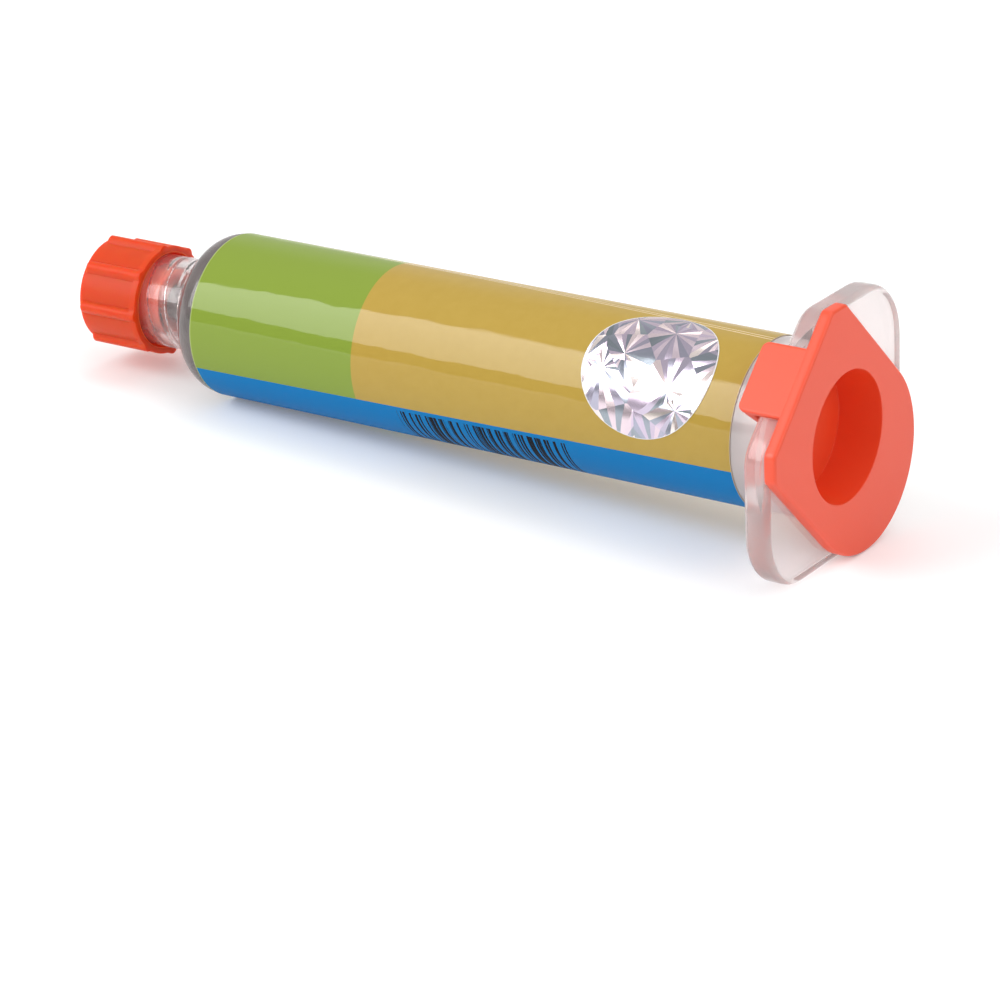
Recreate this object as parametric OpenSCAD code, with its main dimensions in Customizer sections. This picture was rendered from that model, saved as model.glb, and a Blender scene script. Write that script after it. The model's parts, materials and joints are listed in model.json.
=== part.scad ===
// Solder paste syringe, 10 cc, capped at both ends and lying on its side.
// Millimetres, +Z up. The nose points to -X and the mouth of the barrel to +X.
// Every piece is drawn standing on the mouth plane, with its axis along +Z, the
// end cap's hook towards +X and the flange's ears along Y, and is then laid down.

/* [Barrel] */
// Outside diameter of the barrel
barrel_od = 18.8; // [17:0.1:21]
// Thickness of the barrel's wall
barrel_wall = 1.45; // [1:0.05:2]
// Length of the barrel, from its mouth to the edge of the shoulder before that is rounded
barrel_len = 81.2; // [70:0.2:120]
// Length of the conical shoulder between that edge and the collar
shoulder_len = 3.2; // [2.6:0.1:4]
// Radius that rounds the outer edge of the shoulder
shoulder_round = 3; // [1.8:0.1:3.4]
// Depth of the funnel inside the shoulder
funnel_len = 2.9; // [2.6:0.1:3.1]

/* [Flange] */
// Length of the flange, from the end of one ear to the end of the other
flange_len = 34.2; // [31:0.2:40]
// Width of the flange across its flat sides
flange_w = 23; // [22:0.1:24]
// Thickness of the flange
flange_t = 3.1; // [2:0.1:4]
// Radius of the end of each ear
ear_r = 7.2; // [6.2:0.2:8]
// Radius of the flange's four wide corners
flange_corner = 4; // [3:0.2:5]
// Radius that rounds the flange's edges
flange_round = 0.8; // [0.4:0.1:1.4]

/* [Luer lock nose] */
// Outside diameter of the collar
collar_od = 10.8; // [10.4:0.1:11.4]
// Inside diameter of the collar, at the bottom of its thread
collar_id = 8.2; // [8:0.1:8.6]
// Length of the collar in front of the shoulder
collar_len = 8.4; // [7:0.1:10]
// Depth of the collar's floor behind the foot of the collar
collar_sink = 0.2; // [0:0.1:0.4]
// Diameter of the tapered tip at its end
tip_d = 3.95; // [3.9:0.01:4]
// Taper of the tip, as diameter over length
tip_taper = 0.06; // [0.05:0.01:0.07]
// How far the tip stands out of the collar
tip_out = 2.1; // [1:0.1:3]
// Diameter of the channel through the tip
channel_d = 2.2; // [1.6:0.1:2.6]

/* [Tip cap] */
// Length of the cap, from its closed end to its rim
cap_len = 8.5; // [7.4:0.1:10]
// Gap along the axis between the shoulder's cone and the cap's rim
cap_standoff = 5.6; // [5.2:0.1:6.4]
// Diameter over the cap's ribs
cap_rib_d = 13.5; // [13.1:0.1:15]
// Diameter of the cap between its ribs
cap_d = 12.3; // [12:0.1:12.9]
// Inside diameter of the cap's skirt
cap_skirt_id = 11.3; // [11.2:0.1:11.5]
// Depth of the ring-shaped space that takes the collar
cap_space = 4.5; // [4.2:0.1:5]
// Number of grip ribs
cap_ribs = 8; // [6:1:12]
// Width of a grip rib
cap_rib_w = 1.5; // [1:0.1:2]
// How far the ribs stop short of the cap's closed end
cap_rib_short = 0.5; // [0.2:0.1:1]
// How far the ring round the cap's rim stands out
cap_ring = 0.25; // [0.1:0.05:0.35]
// Width of that ring
cap_ring_w = 0.9; // [0.6:0.1:1.4]
// Outside diameter of the post that closes the tip
post_d = 7.3; // [6.8:0.1:7.6]
// How far the post stands out of the skirt
post_out = 2; // [0.5:0.1:2.4]
// Depth of the tapered hole in the post
post_hole = 7.6; // [7.4:0.1:7.8]
// Angle of the first rib from the end cap's hook
cap_turn = 43.7; // [0:0.1:45]

/* [End cap] */
// Thickness of the end cap's plate
plate_t = 1.4; // [1:0.1:2]
// Width of the plate, and diameter of its round end
plate_w = 21.2; // [19.6:0.1:22]
// Distance from the barrel's axis to the middle of the plate's round end
plate_lobe = 5.4; // [4:0.1:7]
// Chamfer on the plate's two corners beside the hook
plate_chamfer = 2.1; // [1:0.1:3]
// Radius of the ends of that chamfer
plate_corner = 0.8; // [0.4:0.1:1.2]
// Depth of the round recess in the end cap
recess_depth = 5.2; // [3:0.1:8]
// Diameter of the recess at its mouth
recess_d = 14.6; // [13:0.1:14.8]
// Diameter of the recess at its floor
recess_floor_d = 14; // [12.4:0.1:14.2]
// Thickness of the floor that closes the plug
plug_floor = 1; // [0.8:0.1:1.6]
// Width of the hook
hook_w = 8.2; // [6:0.1:10]
// Thickness of the hook's back, outside the flange
hook_back = 0.9; // [0.7:0.1:1.6]
// Thickness of the hook's lip at its root
lip_t = 2; // [1.4:0.1:2.6]
// How far the lip's leading face slopes back
lip_ramp = 1; // [0.4:0.1:1.2]

/* [Piston] */
// Length of the piston's skirt
piston_len = 10; // [8:0.2:14]
// Height of the piston's cone
piston_nose = 3.4; // [2.6:0.1:3.8]
// Thickness of the piston's wall
piston_wall = 1.1; // [0.8:0.1:1.4]
// Width of each of the piston's two wiping lips
wiper_w = 1.6; // [1:0.1:2]
// How much the piston is waisted between its lips
piston_waist = 0.4; // [0.2:0.05:0.6]

/* [Solder paste] */
// Length of the paste in the straight bore
paste_len = 40; // [20:0.5:46]

/* [Label and sticker] */
// Distance from the barrel's mouth to the rear edge of the label
label_start = 7.4; // [6:0.1:10]
// Length of the label
label_len = 72; // [50:0.5:72]
// Thickness of the label
label_t = 0.08; // [0.05:0.01:0.15]
// Diameter of the round sticker
sticker_d = 16; // [10:0.5:20]
// Thickness of the sticker
sticker_t = 0.06; // [0.04:0.01:0.1]
// Distance from the label's rear edge to the middle of the sticker
sticker_at = 11.6; // [10.2:0.1:30]
// Angle of the sticker round the barrel, from the end cap's hook
sticker_turn = -1; // [-30:1:30]

/* [Fits] */
// Radial gap between the end cap's plug and the bore
plug_gap = 0.06; // [0.04:0.01:0.1]
// Gap between the hook and the flange
hook_gap = 0.1; // [0.05:0.01:0.2]
// Gap between the hook's lip and the side of the barrel
lip_gap = 0.3; // [0.1:0.05:0.5]
// Radial gap between the piston's lips and the bore
wiper_gap = 0.04; // [0.02:0.01:0.1]
// Radial gap between the tip and the hole in the cap's post
luer_gap = 0.04; // [0.02:0.01:0.08]
// Gap round the paste
paste_gap = 0.12; // [0.05:0.01:0.2]
// Gap left under the label and under the sticker
film_gap = 0.01; // [0:0.005:0.02]

/* [Hidden] */
$fn = 96;
// How far a cut runs past what it cuts
spare = 1;

// Barrel
barrel_r = barrel_od / 2;
bore_r = barrel_r - barrel_wall;
collar_r = collar_od / 2;
chamber_r = collar_id / 2;
channel_r = channel_d / 2;
collar_foot = barrel_len + shoulder_len;
chamber_floor = collar_foot - collar_sink;
collar_end = collar_foot + collar_len;
tip_end = collar_end + tip_out;
// How far the shoulder turns away from the barrel
shoulder_turn = atan((barrel_r - collar_r) / shoulder_len);
// The wall is as thick in the shoulder as in the barrel, down to the collar's foot
bore_end = barrel_len - barrel_wall * tan(shoulder_turn / 2);
knee_end = bore_end + (bore_r - collar_r) / tan(shoulder_turn);
funnel_end = bore_end + funnel_len;
// Radius that rounds the small edges of the mouldings
edge_round = 0.3;

// Radius of the tapered tip at a distance along the axis
function tip_r(at) = tip_d / 2 + (tip_end - at) * tip_taper / 2;

// Flange
ear_at = flange_len / 2 - ear_r;
corner_x = flange_w / 2 - flange_corner;
// Each corner circle touches the line at 45 degrees that also touches the ear
corner_y = ear_at + sqrt(2) * (ear_r - flange_corner) - corner_x;

// Tip cap
cap_rim = collar_foot + cap_standoff;
cap_end = cap_rim + cap_len;
post_r = post_d / 2;
post_start = cap_rim - post_out;
rib_reach = cap_rib_d / 2;

// End cap
plug_r = bore_r - plug_gap;
plug_end = recess_depth - plate_t + plug_floor;
lobe_r = plate_w / 2;
hook_in = flange_w / 2 + hook_gap;
plate_top = hook_in + hook_back;
lip_in = barrel_r + lip_gap;
lip_from = flange_t + hook_gap;
lip_to = lip_from + lip_t;

// Paste and piston
wiper_r = bore_r - wiper_gap;
paste_r = bore_r - paste_gap;
paste_start = bore_end - paste_len;
// The foot of the piston's cone, with its point just clear of the paste
cone_foot = paste_start - paste_gap;
piston_end = cone_foot - piston_len;
cone_r = wiper_r - piston_waist;

// Label and sticker
label_in = barrel_r + film_gap;
label_r = label_in + label_t;
label_end = label_start + label_len;
sticker_in = label_r + film_gap;
sticker_r = sticker_in + sticker_t;
sticker_mid = label_start + sticker_at;

// How it lies: the plate's round end and one ear meet the floor behind, and
// the label's front edge meets it in front. rest is the angle, from the ear
// towards the plate's round end, of the way down, and lean is the slope of the axis.
ear_ring = ear_r - flange_round;
ear_z = flange_t - flange_round;
function lean_at(rest) = atan((plate_lobe * sin(rest) + lobe_r - label_r) / label_end);
function rest_at(lean) =
    let (more = lobe_r - ear_ring - flange_round / cos(lean) - ear_z * tan(lean))
    acos(more / norm([ear_at, plate_lobe])) - atan(plate_lobe / ear_at);
rest_first = rest_at(0);
rest_next = rest_at(lean_at(rest_first));
rest = rest_at(lean_at(rest_next));
lean = lean_at(rest);
axis_height = label_end * sin(lean) + label_r * cos(lean);

// The middle of the whole part's footprint goes to the origin
corner_in = plate_chamfer + (sqrt(2) - 1) * plate_corner;
corner_far = (plate_top - plate_corner) * cos(rest) + (lobe_r - corner_in) * sin(rest);
corner_side = (plate_top - corner_in) * cos(rest) + (lobe_r - plate_corner) * sin(rest);
side_low = -max(corner_far, corner_side) - plate_corner;
side_high = plate_lobe * cos(rest) + lobe_r;
end_high = plate_t * cos(lean) + (plate_lobe * sin(rest) + lobe_r) * sin(lean);
end_low = -cap_end * cos(lean) - cap_d / 2 * sin(lean);

// The points of an arc of radius r that rounds the corner at b
function rounded(a, b, c, r, steps = 8) =
    let (
        u = (a - b) / norm(a - b),
        v = (c - b) / norm(c - b),
        half = acos(u * v) / 2,
        mid = b + (u + v) / norm(u + v) * r / sin(half),
        from = b + u * r / tan(half) - mid,
        to = b + v * r / tan(half) - mid,
        sweep = 180 - 2 * half
    )
    [for (i = [0:steps]) mid + (from * sin(sweep * (1 - i / steps)) + to * sin(sweep * i / steps)) / sin(sweep)];

// Lays a piece down: turned so that it rests on the ear and the plate, and tilted
module lying() {
    translate([-(end_high + end_low) / 2, -(side_high + side_low) / 2, axis_height])
        rotate([0, -lean, 0])
            rotate([90 - rest, 0, 0])
                rotate([0, -90, 0])
                    children();
}

// A disc with a rounded rim, standing on its flat face
module pebble(r, t, edge) {
    steps = 5;
    rim = [for (i = [0:steps]) [r - edge + edge * sin(90 * i / steps), edge - edge * cos(90 * i / steps)]];
    rotate_extrude($fn = 40)
        polygon(concat([[0, 0]], rim, [for (i = [0:steps]) [rim[steps - i][0], t - rim[steps - i][1]]], [[0, t]]));
}

// The barrel's half section, out along the outside and back through the nose and the bore
module barrel_section() {
    mouth = [barrel_r, 0];
    edge = [barrel_r, barrel_len];
    foot = [collar_r, collar_foot];
    rim_out = [collar_r, collar_end];
    rim_in = [chamber_r, collar_end];
    floor_out = [chamber_r, chamber_floor];
    floor_in = [tip_r(chamber_floor), chamber_floor];
    point = [tip_r(tip_end), tip_end];
    outlet = [channel_r, tip_end];
    funnel_low = [channel_r, funnel_end];
    knee = [collar_r, knee_end];
    funnel_high = [bore_r, bore_end];
    polygon(concat(
        [mouth],
        rounded(mouth, edge, foot, shoulder_round),
        rounded(edge, foot, rim_out, edge_round, 4),
        rounded(foot, rim_out, rim_in, edge_round, 4),
        rounded(rim_out, rim_in, floor_out, edge_round, 4),
        [floor_out, floor_in],
        rounded(floor_in, point, outlet, edge_round, 4),
        [outlet, funnel_low, knee],
        rounded(knee, funnel_high, [bore_r, 0], shoulder_round - barrel_wall),
        [[bore_r, 0]]
    ));
}

module flange() {
    difference() {
        hull() {
            for (side = [-1, 1]) {
                translate([0, side * ear_at, 0])
                    pebble(ear_r, flange_t, flange_round);
                for (across = [-1, 1])
                    translate([across * corner_x, side * corner_y, 0])
                        pebble(flange_corner, flange_t, flange_round);
            }
        }
        translate([0, 0, -spare])
            cylinder(r = (bore_r + barrel_r) / 2, h = flange_t + 2 * spare);
    }
}

module barrel() {
    color([0.86, 0.87, 0.87, 0.6])
        lying() {
            rotate_extrude()
                barrel_section();
            flange();
        }
}

// The ribs are rounded at the outside and reach into the cap's wall
module cap_rib_outline() {
    for (i = [0:cap_ribs - 1])
        rotate(cap_turn + i * 360 / cap_ribs) {
            translate([rib_reach / 2 - cap_rib_w / 4, 0])
                square([rib_reach - cap_rib_w / 2, cap_rib_w], center = true);
            translate([rib_reach - cap_rib_w / 2, 0])
                circle(d = cap_rib_w, $fn = 32);
        }
}

module tip_cap() {
    post_hole_r = tip_r(post_start) + luer_gap;
    color([0.93, 0.30, 0.18])
        lying()
            difference() {
                union() {
                    translate([0, 0, cap_rim])
                        cylinder(d = cap_d, h = cap_len);
                    translate([0, 0, cap_rim])
                        linear_extrude(cap_len - cap_rib_short)
                            cap_rib_outline();
                    translate([0, 0, cap_rim])
                        cylinder(r = cap_d / 2 + cap_ring, h = cap_ring_w);
                    translate([0, 0, post_start])
                        cylinder(r = post_r, h = cap_len);
                }
                translate([0, 0, cap_rim])
                    difference() {
                        translate([0, 0, -spare])
                            cylinder(d = cap_skirt_id, h = cap_space + spare);
                        translate([0, 0, -2 * spare])
                            cylinder(r = post_r, h = cap_space + 3 * spare);
                    }
                translate([0, 0, post_start])
                    cylinder(r1 = post_hole_r, r2 = post_hole_r - post_hole * tip_taper / 2, h = post_hole);
            }
}

// The plate's outline: a round lobe below and two chamfered corners beside the hook
module plate_outline() {
    translate([-plate_lobe, 0])
        circle(r = lobe_r);
    offset(r = plate_corner)
        offset(delta = -plate_corner)
            plate_polygon();
}

module plate_polygon() {
    polygon([
        [-plate_lobe - plate_corner, -lobe_r],
        [plate_top - plate_chamfer, -lobe_r],
        [plate_top, -lobe_r + plate_chamfer],
        [plate_top, lobe_r - plate_chamfer],
        [plate_top - plate_chamfer, lobe_r],
        [-plate_lobe - plate_corner, lobe_r]
    ]);
}

// The hook's section, from the plate round the edge of the flange to its lip
module hook() {
    translate([0, hook_w / 2, 0])
        rotate([90, 0, 0])
            linear_extrude(hook_w)
                polygon([
                    [plate_top, -plate_t / 2],
                    [plate_top, lip_to],
                    [lip_in, lip_to - lip_ramp],
                    [lip_in, lip_from],
                    [hook_in, lip_from],
                    [hook_in, -plate_t / 2]
                ]);
}

module end_cap() {
    plug_foot = [plug_r, plug_end];
    color([0.95, 0.36, 0.24])
        lying() {
            difference() {
                union() {
                    translate([0, 0, -plate_t])
                        linear_extrude(plate_t)
                            plate_outline();
                    rotate_extrude()
                        polygon(concat(
                            [[0, -plate_t / 2], [plug_r, -plate_t / 2]],
                            rounded([plug_r, 0], plug_foot, [0, plug_end], edge_round, 4),
                            [[0, plug_end]]
                        ));
                }
                translate([0, 0, -plate_t])
                    cylinder(d1 = recess_d, d2 = recess_floor_d, h = recess_depth);
            }
            hook();
        }
}

// A thin cup with a pointed front and a wiping lip at each end of its skirt
module piston() {
    inner_r = cone_r - piston_wall;
    color([0.93, 0.93, 0.90])
        lying()
            rotate_extrude()
                polygon([
                    [inner_r, piston_end],
                    [wiper_r, piston_end],
                    [wiper_r, piston_end + wiper_w],
                    [cone_r, piston_end + wiper_w + piston_waist],
                    [cone_r, cone_foot - wiper_w - piston_waist],
                    [wiper_r, cone_foot - wiper_w],
                    [wiper_r, cone_foot],
                    [channel_r, cone_foot + piston_nose],
                    [0, cone_foot + piston_nose],
                    [0, cone_foot + piston_nose - piston_wall],
                    [channel_r, cone_foot + piston_nose - piston_wall],
                    [inner_r, cone_foot - piston_wall]
                ]);
}

// The paste fills the bore in front of the piston, the funnel and the channel
module solder_paste() {
    thread_r = channel_r - paste_gap;
    cone_gap = paste_gap / sin(shoulder_turn);
    rear = [paste_r, paste_start];
    edge = [paste_r, bore_end - paste_gap * tan(shoulder_turn / 2)];
    knee = [collar_r, knee_end - cone_gap];
    color([0.45, 0.45, 0.46])
        lying()
            rotate_extrude()
                polygon(concat(
                    [[0, paste_start + piston_nose], [channel_r, paste_start + piston_nose], rear],
                    rounded(rear, edge, knee, shoulder_round - barrel_wall),
                    [
                        knee,
                        [thread_r, funnel_end - cone_gap],
                        [thread_r, tip_end - paste_gap],
                        [0, tip_end - paste_gap]
                    ]
                ));
}

module label() {
    color([0.80, 0.66, 0.33])
        lying()
            translate([0, 0, label_start])
                difference() {
                    cylinder(r = label_r, h = label_len);
                    translate([0, 0, -spare])
                        cylinder(r = label_in, h = label_len + 2 * spare);
                }
}

// A round sticker wrapped on the label, cut out along its outline as it bends round
module hologram_sticker() {
    half = sticker_d / 2;
    turns = 48;
    outline = [for (i = [0:turns - 1])
        [half * cos(360 * i / turns), sticker_r * sin(half * sin(360 * i / turns) / sticker_r * 180 / PI)]];
    color([0.82, 0.84, 0.90])
        lying()
            translate([0, 0, sticker_mid])
                rotate([0, 0, sticker_turn])
                    intersection() {
                        difference() {
                            cylinder(r = sticker_r, h = sticker_d + 2 * spare, center = true);
                            cylinder(r = sticker_in, h = sticker_d + 4 * spare, center = true);
                        }
                        rotate([0, 90, 0])
                            linear_extrude(sticker_r + spare)
                                polygon(outline);
                    }
}

barrel();
tip_cap();
end_cap();
piston();
solder_paste();
label();
hologram_sticker();
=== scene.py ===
# %% [markdown]
# A syringe of solder paste, lying on a pale table.
# The imported model holds the sizes and places of its mouldings, films and paste.
# Here each of them gets its rounded edges, its thread and its finish.
# First the model is loaded.

import json
import math

import bmesh
import bpy
from mathutils import Matrix, Vector


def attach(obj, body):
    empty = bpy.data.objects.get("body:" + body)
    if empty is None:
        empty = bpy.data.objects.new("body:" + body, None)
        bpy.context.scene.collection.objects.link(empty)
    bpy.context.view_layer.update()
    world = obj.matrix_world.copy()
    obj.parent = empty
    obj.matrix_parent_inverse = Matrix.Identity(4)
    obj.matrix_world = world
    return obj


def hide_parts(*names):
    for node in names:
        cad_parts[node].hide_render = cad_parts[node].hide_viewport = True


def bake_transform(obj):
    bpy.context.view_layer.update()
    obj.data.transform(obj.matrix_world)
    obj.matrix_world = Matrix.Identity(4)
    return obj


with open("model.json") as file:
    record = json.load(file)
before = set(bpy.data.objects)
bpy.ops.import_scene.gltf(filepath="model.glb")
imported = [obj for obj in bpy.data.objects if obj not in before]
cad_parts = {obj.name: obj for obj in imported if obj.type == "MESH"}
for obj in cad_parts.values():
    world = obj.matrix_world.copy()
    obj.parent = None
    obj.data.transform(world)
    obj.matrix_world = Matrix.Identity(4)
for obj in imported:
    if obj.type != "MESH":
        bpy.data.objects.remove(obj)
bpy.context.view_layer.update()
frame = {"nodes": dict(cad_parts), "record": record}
print("packed pieces:", sorted(frame["nodes"]))

# %% [markdown]
# A syringe is a turned shape, so it's drawn standing up: its axis on Z, the plane
# of its open mouth at zero, the nose upwards, in millimetres. The end cap's hook
# points to X and the flange's ears to Y. One matrix then lays each piece down.
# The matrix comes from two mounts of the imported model: the middle of the mouth, with
# the way that it faces, and the middle of an ear.

# %% The matrix that lays a standing piece down
MM = 0.001
mounts = {mount["name"]: mount for mount in frame["record"]["mounts"]}
mouth = Vector(mounts["barrel_mouth"]["pos_m"])
to_nose = -Vector(mounts["barrel_mouth"]["axis"]).normalized()
ear_place = Vector(mounts["flange_ears"]["pos_m"]) - mouth
to_ear = (ear_place - ear_place.dot(to_nose) * to_nose).normalized()
to_hook = to_ear.cross(to_nose)
turned = Matrix((to_hook, to_ear, to_nose)).transposed()
laid_down = Matrix.Translation(mouth) @ turned.to_4x4() @ Matrix.Scale(MM, 4)
print("the nose points to", [round(c, 3) for c in to_nose])
print("the hook points to", [round(c, 3) for c in to_hook])

# %% [markdown]
# Most of the syringe is round, but the flange, the end cap's plate and the ribbed tip
# cap aren't. All of them can still be lofted: a stack of rings round the axis, each
# with the same number of corners, and a strip of faces bridged from ring to ring.
# A ring starts as a circle, and each corner is then pushed out to the outline's reach
# at its angle. Where two rings touch, their corners are merged.

# %% Rings and lofts
def reach_to(reach, angle):
    """The reach at an angle. A reach is a radius, or a function of the angle."""
    return reach(angle) if callable(reach) else reach


def ring(bm, reach, height, steps):
    """A closed ring of edges at a height."""
    made = bmesh.ops.create_circle(bm, segments=steps, radius=1)
    for vert in made["verts"]:
        angle = math.atan2(vert.co.y, vert.co.x)
        radius = reach_to(reach, angle)
        vert.co = (radius * math.cos(angle), radius * math.sin(angle), height)
    return list({edge for vert in made["verts"] for edge in vert.link_edges})


def lofted(sections, steps, closed=False):
    """A skin through rings of (reach, height). The ends are capped, or joined if closed."""
    bm = bmesh.new()
    rings = [ring(bm, reach, height, steps) for reach, height in sections]
    above = rings[1:] + rings[:1] if closed else rings[1:]
    for lower, upper in zip(rings, above):
        bmesh.ops.bridge_loops(bm, edges=lower + upper)
    if not closed:
        bmesh.ops.edgeloop_fill(bm, edges=rings[0])
        bmesh.ops.edgeloop_fill(bm, edges=rings[-1])
    bmesh.ops.remove_doubles(bm, verts=bm.verts, dist=0.001)
    return bm


# %% [markdown]
# The edges of a moulding are rounded where two of its rings' faces meet. The edges of
# a ring are found again by its reach and height. Bevel asks how far back to cut, and a
# true radius follows from that and from the angle by which the faces turn.

# %% Rounded edges
# How far off a place, in millimetres, a corner may lie and still be there
slack = 0.003


def ring_at(bm, reach, height):
    """The edges of the ring at a radius or outline and a height."""
    def on_ring(vert):
        radius = reach_to(reach, math.atan2(vert.co.y, vert.co.x))
        return abs(vert.co.z - height) < slack and abs(vert.co.xy.length - radius) < slack
    return [edge for edge in bm.edges if on_ring(edge.verts[0]) and on_ring(edge.verts[1])]


def round_off(bm, edges, radius, segments=3, turn=90):
    """Rounds edges whose faces turn by an angle in degrees, with a true radius."""
    offset = radius * math.tan(math.radians(turn) / 2)
    bmesh.ops.bevel(bm, geom=edges, offset=offset, offset_type="OFFSET", affect="EDGES",
                    segments=segments, profile=0.5, material=-1)


# %% [markdown]
# A finished mesh is laid down in one go, so that its object can stay at the origin.
# Its faces are turned outwards, and it is shaded smooth up to an angle. A piece that
# rides on one body then gets a weighted normal modifier, which keeps its flat faces
# flat next to their rounded edges.

# %% From a mesh under work to a piece on its body
smooth_up_to = math.radians(35)


def laid(name, bm, material):
    """Lays a standing mesh down as an object with a finish."""
    bmesh.ops.recalc_face_normals(bm, faces=bm.faces)
    bm.transform(laid_down)
    mesh = bpy.data.meshes.new(name)
    bm.to_mesh(mesh)
    bm.free()
    mesh.shade_smooth()
    mesh.set_sharp_from_angle(angle=smooth_up_to)
    mesh.materials.append(material)
    piece = bpy.data.objects.new(name, mesh)
    bpy.context.scene.collection.objects.link(piece)
    print(name, "has", len(mesh.polygons), "faces")
    return piece


def finished(name, bm, body, replaced, material):
    """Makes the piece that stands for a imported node, riding on a body."""
    piece = laid(name, bm, material)
    weighted = piece.modifiers.new("weighted normals", "WEIGHTED_NORMAL")
    weighted.keep_sharp = True
    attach(piece, body)
    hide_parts(replaced)


# %% [markdown]
# Colours are chosen as they look on a screen, from 0 to 255, and shaders want
# them linear. A finish is a Principled shader with its values set on its own sockets.

# %% Inks and finishes
def ink(red, green, blue):
    """A screen colour as the linear colour that a shader takes."""
    def linear(level):
        part = level / 255
        return part / 12.92 if part <= 0.04045 else ((part + 0.055) / 1.055) ** 2.4
    return (linear(red), linear(green), linear(blue), 1)


def principled(material):
    return material.node_tree.nodes["Principled BSDF"]


def finish_of(name, **sockets):
    """A material with values on its Principled shader, named with _ for a space."""
    material = bpy.data.materials.new(name)
    material.use_nodes = True
    for socket, value in sockets.items():
        principled(material).inputs[socket.replace("_", " ")].default_value = value
    return material


def drive(material, socket, value):
    """Feeds an output into a socket of the material's Principled shader."""
    material.node_tree.links.new(value, principled(material).inputs[socket])


def show(material, shader):
    """Makes a shader node the one that the surface shows."""
    output = material.node_tree.nodes["Material Output"]
    material.node_tree.links.new(shader.outputs[0], output.inputs["Surface"])


# %% [markdown]
# What changes over a surface comes from nodes. They could be placed and linked one by
# one, but that takes many lines that look alike, so each helper here makes one kind,
# and takes numbers and other nodes' outputs alike.

# %% Nodes for patterns
def add(material, kind, inputs=None, **settings):
    """A new node, with values by the number or name of an input."""
    made = material.node_tree.nodes.new(kind)
    for key, value in settings.items():
        setattr(made, key, value)
    for key, value in (inputs or {}).items():
        if isinstance(value, bpy.types.NodeSocket):
            material.node_tree.links.new(value, made.inputs[key])
        else:
            made.inputs[key].default_value = value
    return made


def maths(material, operation, first, second=0.0):
    """One Math node, of outputs or numbers."""
    return add(material, "ShaderNodeMath", {0: first, 1: second}, operation=operation).outputs[0]


def vectors(material, operation, first, second=(0, 0, 0)):
    """One Vector Math node, of outputs or triples. It has a Vector and a Value."""
    made = add(material, "ShaderNodeVectorMath", {0: first, 1: second}, operation=operation)
    return made.outputs


def parts_of(material, place):
    """The X, Y and Z of a place."""
    return add(material, "ShaderNodeSeparateXYZ", {0: place}).outputs


def ranged(material, value, start, end, low, high):
    """Goes from low to high while a value goes from start to end."""
    inputs = {"Value": value, 1: start, 2: end, 3: low, 4: high}
    return add(material, "ShaderNodeMapRange", inputs).outputs[0]


def between(material, value, low, high):
    """One where a value lies between two others, and nought elsewhere."""
    above = maths(material, "GREATER_THAN", value, low)
    return maths(material, "MULTIPLY", above, maths(material, "LESS_THAN", value, high))


def overprint(material, base, colour, where):
    """A colour laid over another, by a share from nought to one."""
    mix = add(material, "ShaderNodeMix", {"Factor": where, 6: base, 7: colour}, data_type="RGBA")
    return mix.outputs[2]


# %% [markdown]
# Patterns are thought of on the standing syringe too: how far along the barrel, and
# how far round it from the hook. A Mapping node of type Texture undoes the matrix
# that laid the piece down, so its output is in millimetres from the mouth, and an
# arctangent turns it into millimetres round the label.

# %% Places on the standing syringe
label_r = 9.49


def standing(material):
    """The place in millimetres on the standing syringe."""
    place = add(material, "ShaderNodeTexCoord").outputs["Object"]
    mapping = add(material, "ShaderNodeMapping", {"Vector": place}, vector_type="TEXTURE")
    mapping.inputs["Location"].default_value = mouth
    mapping.inputs["Rotation"].default_value = turned.to_euler()
    mapping.inputs["Scale"].default_value = (MM, MM, MM)
    return mapping.outputs["Vector"]


def along_and_round(material):
    """Millimetres along the barrel from its mouth, and round it from the hook."""
    parts = parts_of(material, standing(material))
    angle = maths(material, "ARCTAN2", parts["Y"], parts["X"])
    return parts["Z"], maths(material, "MULTIPLY", angle, label_r)


# %% [markdown]
# No moulding is quite even, and a little grain in its gloss shows that. It could be
# pushed into the mesh, but it's far finer than the faces, so a bump node makes the
# surface lean by soft random levels instead.

# %% Grain
def clouds(material, place, scale, detail):
    """Soft random levels. The larger the scale, the finer they are."""
    inputs = {"Vector": place, "Scale": scale, "Detail": detail}
    return add(material, "ShaderNodeTexNoise", inputs).outputs["Fac"]


def bumps(material, levels, strength, depth):
    """How a surface leans that stands out by levels. depth is in millimetres."""
    inputs = {"Height": levels, "Strength": strength, "Distance": depth * MM}
    return add(material, "ShaderNodeBump", inputs).outputs["Normal"]


def grain(material, size, strength, depth, detail=2.0):
    """Fine unevenness of a moulded surface. size and depth are in millimetres."""
    levels = clouds(material, standing(material), 1 / size, detail)
    drive(material, "Normal", bumps(material, levels, strength, depth))
    return levels


# %% [markdown]
# The barrel is one moulding of clear natural polypropylene. It's clear but not quite
# like glass: the thick flange and the wall near it look milky, because a share of the
# light is scattered instead of let through, and the thin nose is nearly clear. A
# Principled shader does both when its transmission weight is under one. A lamp's light
# doesn't find its way through a refracting wall in a few samples, so for shadow rays
# the wall is mostly transparent.

# %% Clear polypropylene
clear_flange, clear_wall, clear_nose = 0.78, 0.52, 0.95
flange_front, wall_from, nose_from = 3.2, 10.0, 76.0


def lets_light_through(material, colour):
    """Lets a share of a lamp's light through each surface, by its colour."""
    window = add(material, "ShaderNodeBsdfTransparent", {"Color": colour})
    in_shadow = add(material, "ShaderNodeLightPath").outputs["Is Shadow Ray"]
    inputs = {0: in_shadow, 1: principled(material).outputs[0], 2: window.outputs[0]}
    show(material, add(material, "ShaderNodeMixShader", inputs))


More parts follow.
